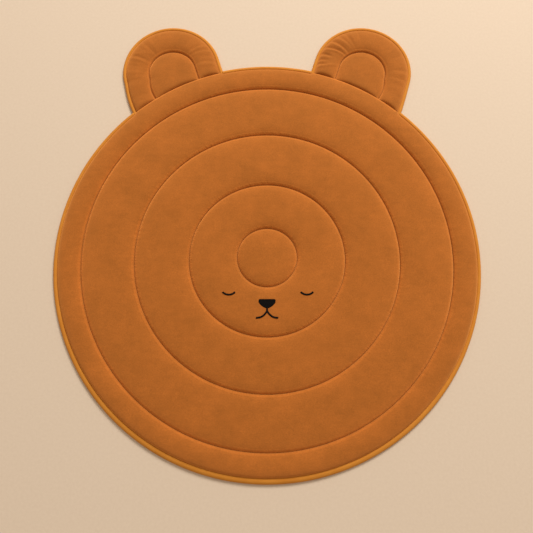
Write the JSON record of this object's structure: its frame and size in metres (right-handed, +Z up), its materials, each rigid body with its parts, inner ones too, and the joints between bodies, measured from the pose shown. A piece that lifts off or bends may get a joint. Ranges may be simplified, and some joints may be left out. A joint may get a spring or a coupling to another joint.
{
  "type": "bear shaped quilted kids rug",
  "caption": "Soft quilted floor rug in the shape of a bear's head, with round ears, piped edge and an embroidered sleepy face; lies flat as a play mat.",
  "frame": {"origin": "middle of the round head, on the floor", "axes": "+Z up, +Y from the chin to the ears, +X to the rug's right ear as seen from above with the ears up"},
  "size_m": [0.9994, 1.1106, 0.0197],
  "materials": {
    "velvet": "caramel cotton velvet, short nap",
    "piping": "mustard woven cloth over cord",
    "thread": "black satin stitch"
  },
  "bodies": {
    "root": {"head_pad": "velvet", "ear_pad_left": "velvet", "ear_pad_right": "velvet", "piping_head_lower": "piping", "piping_head_crown": "piping", "piping_ear_left": "piping", "piping_ear_right": "piping", "eye_left": "thread", "eye_right": "thread", "nose": "thread", "mouth": "thread"}
  },
  "joints": []
}
